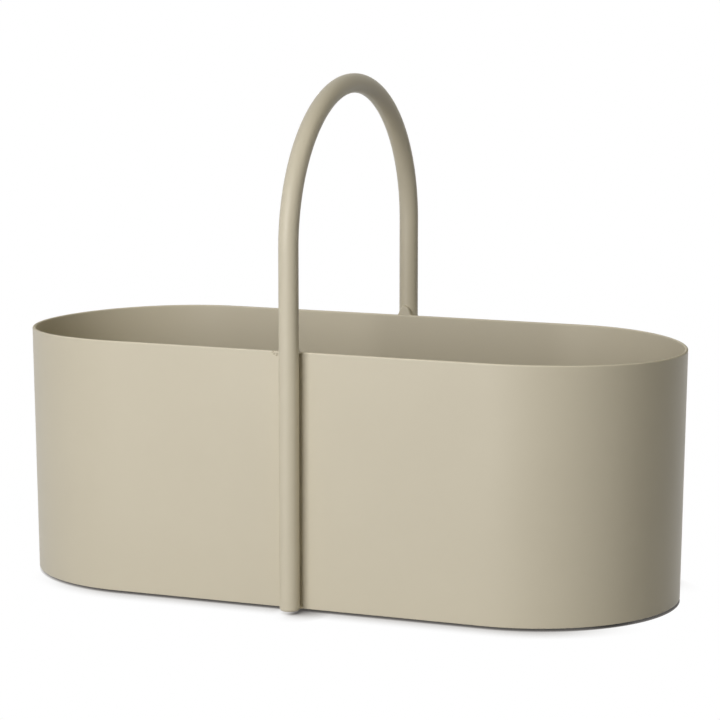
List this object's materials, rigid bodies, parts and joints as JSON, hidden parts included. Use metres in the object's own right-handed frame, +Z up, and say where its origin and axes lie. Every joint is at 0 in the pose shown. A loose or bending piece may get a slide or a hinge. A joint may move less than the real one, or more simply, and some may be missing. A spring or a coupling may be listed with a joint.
{
  "type": "storage toolbox",
  "caption": "Open carrying box with round ends, rolled from powder-coated sheet steel, with a fixed arched tube handle welded down the outside of both long walls.",
  "frame": {"origin": "on the ground under the middle of the box, between the four pads", "axes": "+X along the box's length to the right, +Y across it from the front wall to the rear wall, +Z up"},
  "size_m": [0.3546, 0.1706, 0.2647],
  "materials": {
    "powder_coat": "warm beige powder coat, satin to matt, with a fine orange-peel texture",
    "pad": "dark matt rubber"
  },
  "bodies": {
    "root": {"wall_band": "powder_coat", "wall_seam_weld": "powder_coat", "base_plate": "powder_coat", "handle_tube": "powder_coat", "base_weld_front_1": "powder_coat", "base_weld_front_2": "powder_coat", "base_weld_front_3": "powder_coat", "base_weld_rear_1": "powder_coat", "base_weld_rear_2": "powder_coat", "base_weld_rear_3": "powder_coat", "base_weld_left_1": "powder_coat", "base_weld_left_2": "powder_coat", "base_weld_right_1": "powder_coat", "base_weld_right_2": "powder_coat", "front_end_disc": "powder_coat", "rear_end_disc": "powder_coat", "front_rim_weld": "powder_coat", "rear_rim_weld": "powder_coat", "front_left_toe_weld": "powder_coat", "front_right_toe_weld": "powder_coat", "rear_left_toe_weld": "powder_coat", "rear_right_toe_weld": "powder_coat", "front_left_pad": "pad", "front_right_pad": "pad", "rear_left_pad": "pad", "rear_right_pad": "pad"}
  },
  "joints": []
}
